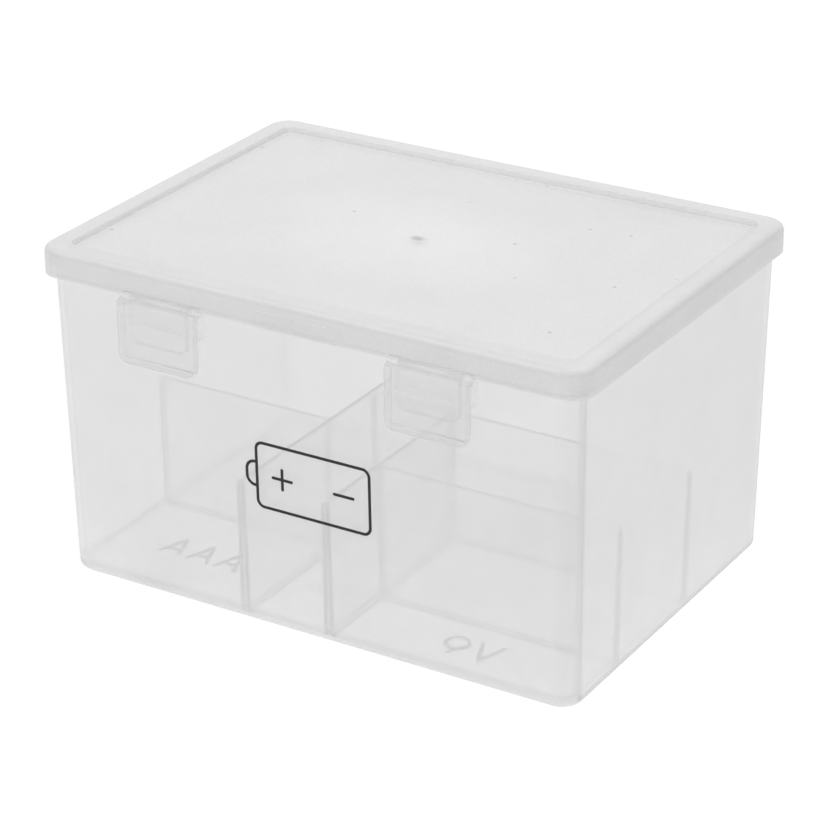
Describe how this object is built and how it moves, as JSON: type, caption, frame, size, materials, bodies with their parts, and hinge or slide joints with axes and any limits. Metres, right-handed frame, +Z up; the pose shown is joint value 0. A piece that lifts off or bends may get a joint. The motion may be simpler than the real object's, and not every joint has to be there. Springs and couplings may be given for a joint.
{
  "type": "battery storage case",
  "caption": "Translucent rectangular case with moulded compartments for batteries, a hinged lid with a raised border and two front latches.",
  "frame": {"origin": "centre of the footprint of tub, lid, hinges and latches, on the underside", "axes": "+X to the right along the front face, +Y to the back (the hinge side), +Z up"},
  "size_m": [0.2, 0.1541, 0.1176],
  "materials": {
    "natural_polypropylene": "natural milky polypropylene, moulded, semi-gloss, see-through",
    "lid_polypropylene": "natural milky polypropylene, moulded, semi-gloss, see-through",
    "latch_polypropylene": "natural milky polypropylene, moulded, semi-gloss, see-through",
    "black_ink": "pad-printed black ink"
  },
  "bodies": {
    "tub": {"tub": "natural_polypropylene", "left_divider": "natural_polypropylene", "right_divider": "natural_polypropylene", "left_crosswall": "natural_polypropylene", "front_crosswall": "natural_polypropylene", "back_crosswall": "natural_polypropylene", "left_catch": "natural_polypropylene", "right_catch": "natural_polypropylene", "left_hinge_rod": "natural_polypropylene", "right_hinge_rod": "natural_polypropylene", "size_marks": "natural_polypropylene", "battery_symbol": "black_ink"},
    "lid": {"lid": "lid_polypropylene", "left_hinge_clip": "lid_polypropylene", "right_hinge_clip": "lid_polypropylene", "left_latch_pivot": "lid_polypropylene", "right_latch_pivot": "lid_polypropylene"},
    "left_latch": {"left_latch": "latch_polypropylene"},
    "right_latch": {"right_latch": "latch_polypropylene"}
  },
  "joints": [
    {"name": "lid_hinge", "type": "hinge", "parent": "tub", "child": "lid", "pos_m": [0, 0.0742, 0.1066], "axis": [-1, 0, 0], "range_deg": [0, 180]},
    {"name": "left_latch_hinge", "type": "hinge", "parent": "lid", "child": "left_latch", "pos_m": [-0.0495, -0.0739, 0.1087], "axis": [-1, 0, 0], "range_deg": [0, 95]},
    {"name": "right_latch_hinge", "type": "hinge", "parent": "lid", "child": "right_latch", "pos_m": [0.0495, -0.0739, 0.1087], "axis": [-1, 0, 0], "range_deg": [0, 95]}
  ]
}
